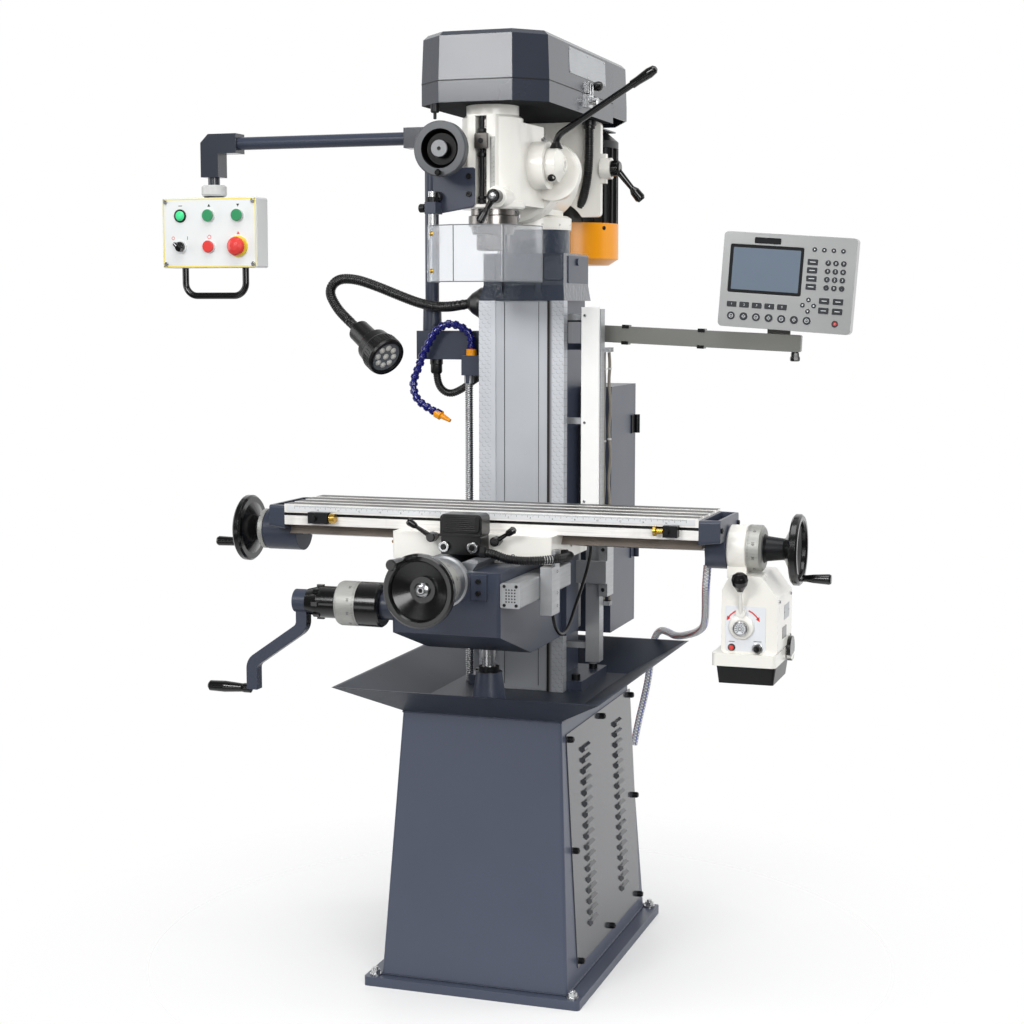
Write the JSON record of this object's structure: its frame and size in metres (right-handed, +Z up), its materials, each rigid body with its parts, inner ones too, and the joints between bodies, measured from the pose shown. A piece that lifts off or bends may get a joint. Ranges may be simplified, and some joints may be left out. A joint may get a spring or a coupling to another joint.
{
  "type": "milling machine",
  "caption": "Knee-type vertical milling machine on a steel stand, with sliding table, power feed, tilting belt-driven head, pendant controls and digital readout",
  "frame": {"origin": "centre of the base plate's underside, on the floor", "axes": "+Z up, the machine faces -Y, +X to the viewer's right along the table"},
  "size_m": [1.6586, 1.2003, 2.014],
  "materials": {
    "painted_slate": "dark blue-grey gloss enamel",
    "painted_cream": "cream-white gloss enamel",
    "ground_steel": "ground and scraped steel",
    "dark_steel": "oiled dark steel",
    "bronze": "machined bronze",
    "black_plastic": "black moulded plastic",
    "grey_plastic": "light grey moulded plastic",
    "green_plastic": "green button plastic",
    "red_plastic": "red button plastic",
    "blue_hose": "blue jointed hose with orange ends",
    "cable_black": "black cable sheath",
    "clear_sheet": "clear polycarbonate",
    "clear_hose": "clear braided hose",
    "belt_rubber": "black belt rubber",
    "grey_cover": "grey way cover",
    "silver_case": "silver moulded case with dark keys"
  },
  "bodies": {
    "base": {"base_plate": "painted_slate", "stand_fasteners": "dark_steel", "stand_cabinet": "painted_slate", "stand_panel": "painted_slate", "chip_tray": "painted_slate", "column": "painted_slate", "way_cover": "grey_cover", "lift_nut": "painted_slate", "electric_box": "painted_cream", "work_lamp": "black_plastic", "coolant_line": "blue_hose", "column_cables": "cable_black", "z_scale": "ground_steel", "pendant_post": "painted_slate"},
    "door": {"electric_door": "painted_cream"},
    "knee": {"knee": "painted_slate", "knee_fittings": "painted_slate", "drain_hose_lower": "clear_hose"},
    "crank": {"lift_crank": "painted_slate"},
    "lift_screw": {"lift_screw": "ground_steel"},
    "saddle": {"saddle": "painted_cream", "saddle_fittings": "black_plastic", "drain_hose_middle": "clear_hose"},
    "lock_left": {"lock_left": "black_plastic"},
    "lock_right": {"lock_right": "black_plastic"},
    "cross_wheel": {"cross_wheel": "black_plastic"},
    "table": {"table": "ground_steel", "table_fittings": "painted_slate", "feed_housing": "painted_cream", "drain_hose_upper": "clear_hose"},
    "table_screw": {"table_screw": "black_plastic"},
    "feed_lever": {"feed_lever": "black_plastic"},
    "feed_knob": {"feed_knob": "black_plastic"},
    "feed_switch": {"feed_switch": "black_plastic"},
    "feed_reset": {"feed_reset": "red_plastic"},
    "turret": {"turret": "painted_cream"},
    "head": {"head_casting": "painted_cream", "head_fittings": "painted_cream", "guard_base": "painted_slate", "motor_body": "painted_cream", "drive_belt": "belt_rubber"},
    "quill": {"quill": "ground_steel"},
    "spindle": {"spindle": "ground_steel"},
    "quill_lever": {"quill_lever": "ground_steel"},
    "fine_wheel": {"fine_wheel": "black_plastic"},
    "quill_lock": {"quill_lock": "black_plastic"},
    "lid": {"guard_lid": "painted_slate"},
    "pulley": {"spindle_pulley": "dark_steel"},
    "rotor": {"motor_rotor": "dark_steel"},
    "tension_lever": {"tension_lever": "black_plastic"},
    "chip_guard": {"chip_guard": "clear_sheet"},
    "pendant_arm": {"pendant_arm": "painted_slate"},
    "pendant": {"pendant_box": "grey_plastic"},
    "up_button": {"up_button": "green_plastic"},
    "down_button": {"down_button": "green_plastic"},
    "stop_button": {"stop_button": "red_plastic"},
    "selector": {"selector": "black_plastic"},
    "emergency_stop": {"emergency_stop": "red_plastic"},
    "readout_arm": {"readout_arm": "painted_slate"},
    "readout": {"readout_case": "silver_case"}
  },
  "joints": [
    {"name": "knee_lift", "type": "slide", "parent": "base", "child": "knee", "axis": [0, 0, 1], "range_m": [-0.025, 0.375], "deforming": ["drain_hose_lower"]},
    {"name": "crank_turn", "type": "hinge", "parent": "knee", "child": "crank", "pos_m": [-0.325, -0.445, 0.85], "axis": [1, 0, 0], "continuous": true},
    {"name": "lift_screw_turn", "type": "hinge", "parent": "knee", "child": "lift_screw", "pos_m": [0, -0.21, 0.6], "axis": [0, 0, 1], "continuous": true},
    {"name": "saddle_cross", "type": "slide", "parent": "knee", "child": "saddle", "axis": [0, 1, 0], "range_m": [-0.09, 0.065], "deforming": ["drain_hose_middle"]},
    {"name": "cross_wheel_turn", "type": "hinge", "parent": "knee", "child": "cross_wheel", "pos_m": [0, -0.58, 0.91], "axis": [0, 1, 0], "continuous": true},
    {"name": "lock_left_turn", "type": "hinge", "parent": "saddle", "child": "lock_left", "pos_m": [-0.078, -0.345, 0.981], "axis": [0, 1, 0], "range_deg": [-30, 30]},
    {"name": "lock_right_turn", "type": "hinge", "parent": "saddle", "child": "lock_right", "pos_m": [0.062, -0.345, 0.977], "axis": [0, 1, 0], "range_deg": [-20, 40]},
    {"name": "table_long", "type": "slide", "parent": "saddle", "child": "table", "axis": [1, 0, 0], "range_m": [-0.265, 0.235], "deforming": ["drain_hose_upper"]},
    {"name": "table_screw_turn", "type": "hinge", "parent": "table", "child": "table_screw", "pos_m": [0, -0.182, 0.96405], "axis": [1, 0, 0], "continuous": true},
    {"name": "feed_lever_turn", "type": "hinge", "parent": "table", "child": "feed_lever", "pos_m": [0.5545, -0.262, 0.841], "axis": [0, 1, 0], "range_deg": [-22, 22]},
    {"name": "feed_knob_turn", "type": "hinge", "parent": "table", "child": "feed_knob", "pos_m": [0.5555, -0.262, 0.81], "axis": [0, 1, 0], "range_deg": [-140, 140]},
    {"name": "feed_switch_press", "type": "slide", "parent": "table", "child": "feed_switch", "axis": [0, 1, 0], "range_m": [0, 0.003], "stiffness_N_per_m": 800, "springref_m": -0.001},
    {"name": "feed_reset_press", "type": "slide", "parent": "table", "child": "feed_reset", "axis": [0, 1, 0], "range_m": [0, 0.002], "stiffness_N_per_m": 800, "springref_m": -0.001},
    {"name": "turret_swivel", "type": "hinge", "parent": "base", "child": "turret", "pos_m": [0, 0.1, 1.63], "axis": [0, 0, 1], "range_deg": [-30, 30]},
    {"name": "head_tilt", "type": "hinge", "parent": "turret", "child": "head", "pos_m": [0, 0, 1.74], "axis": [0, 1, 0], "range_deg": [-20, 20]},
    {"name": "quill_feed", "type": "slide", "parent": "head", "child": "quill", "axis": [0, 0, 1], "range_m": [-0.11, 0], "stiffness_N_per_m": 600, "springref_m": 0.35},
    {"name": "quill_lever_turn", "type": "hinge", "parent": "head", "child": "quill_lever", "pos_m": [0.115, -0.107, 1.752], "axis": [1, 0, 0], "range_deg": [-1, 191]},
    {"name": "fine_wheel_turn", "type": "hinge", "parent": "head", "child": "fine_wheel", "pos_m": [-0.058, -0.33, 1.773], "axis": [0, 1, 0], "continuous": true},
    {"name": "spindle_spin", "type": "hinge", "parent": "quill", "child": "spindle", "pos_m": [0, -0.182, 1.6], "axis": [0, 0, 1], "continuous": true},
    {"name": "pulley_spin", "type": "hinge", "parent": "head", "child": "pulley", "pos_m": [0, -0.182, 1.94], "axis": [0, 0, 1], "continuous": true},
    {"name": "motor_spin", "type": "hinge", "parent": "head", "child": "rotor", "pos_m": [0, 0.385, 1.9], "axis": [0, 0, 1], "continuous": true},
    {"name": "quill_lock_turn", "type": "hinge", "parent": "head", "child": "quill_lock", "pos_m": [0.036, -0.28, 1.68], "axis": [0, 1, 0], "range_deg": [-20, 40]},
    {"name": "lid_open", "type": "hinge", "parent": "head", "child": "lid", "pos_m": [-0.1445, 0, 1.915], "axis": [0, -1, 0], "range_deg": [0, 95]},
    {"name": "tension_lever_turn", "type": "hinge", "parent": "head", "child": "tension_lever", "pos_m": [0.16, 0.199, 1.765], "axis": [1, 0, 0], "range_deg": [-35, 35]},
    {"name": "chip_guard_swing", "type": "hinge", "parent": "head", "child": "chip_guard", "pos_m": [-0.096, -0.288, 1.65], "axis": [0, 0, -1], "range_deg": [0, 100]},
    {"name": "pendant_arm_swing", "type": "hinge", "parent": "base", "child": "pendant_arm", "pos_m": [-0.253, 0.12, 1.8], "axis": [0, 0, 1], "range_deg": [-60, 60]},
    {"name": "pendant_swivel", "type": "hinge", "parent": "pendant_arm", "child": "pendant", "pos_m": [-0.808, 0.12, 1.715], "axis": [0, 0, 1], "range_deg": [-75, 75]},
    {"name": "up_button_press", "type": "slide", "parent": "pendant", "child": "up_button", "axis": [0, 1, 0], "range_m": [0, 0.004], "stiffness_N_per_m": 900, "springref_m": -0.001},
    {"name": "down_button_press", "type": "slide", "parent": "pendant", "child": "down_button", "axis": [0, 1, 0], "range_m": [0, 0.004], "stiffness_N_per_m": 900, "springref_m": -0.001},
    {"name": "stop_button_press", "type": "slide", "parent": "pendant", "child": "stop_button", "axis": [0, 1, 0], "range_m": [0, 0.004], "stiffness_N_per_m": 900, "springref_m": -0.001},
    {"name": "selector_turn", "type": "hinge", "parent": "pendant", "child": "selector", "pos_m": [-0.884, 0.09, 1.597], "axis": [0, 1, 0], "range_deg": [-45, 45]},
    {"name": "emergency_stop_press", "type": "slide", "parent": "pendant", "child": "emergency_stop", "axis": [0, 1, 0], "range_m": [0, 0.005], "stiffness_N_per_m": 1500, "springref_m": -0.001},
    {"name": "door_open", "type": "hinge", "parent": "base", "child": "door", "pos_m": [0.157, 0.4225, 1], "axis": [0, 0, 1], "range_deg": [-110, 0]},
    {"name": "readout_swing", "type": "hinge", "parent": "base", "child": "readout_arm", "pos_m": [0.122, 0.112, 1.397], "axis": [0, 0, 1], "range_deg": [-20, 45]},
    {"name": "readout_tilt", "type": "hinge", "parent": "readout_arm", "child": "readout", "pos_m": [0.552, 0.136, 1.496], "axis": [1, 0, 0], "range_deg": [-15, 3]}
  ],
  "couplings": [
    {"joint": "crank_turn", "follows": "knee_lift", "rad_per_m": 2513.3},
    {"joint": "lift_screw_turn", "follows": "knee_lift", "rad_per_m": 1256.6},
    {"joint": "cross_wheel_turn", "follows": "saddle_cross", "rad_per_m": 1256.6},
    {"joint": "table_screw_turn", "follows": "table_long", "rad_per_m": 1256.6},
    {"joint": "quill_lever_turn", "follows": "quill_feed", "rad_per_m": -30.147},
    {"joint": "fine_wheel_turn", "follows": "quill_feed", "rad_per_m": 2513.3},
    {"joint": "pulley_spin", "follows": "motor_spin", "ratio": 0.66667},
    {"joint": "spindle_spin", "follows": "motor_spin", "ratio": 0.66667}
  ]
}
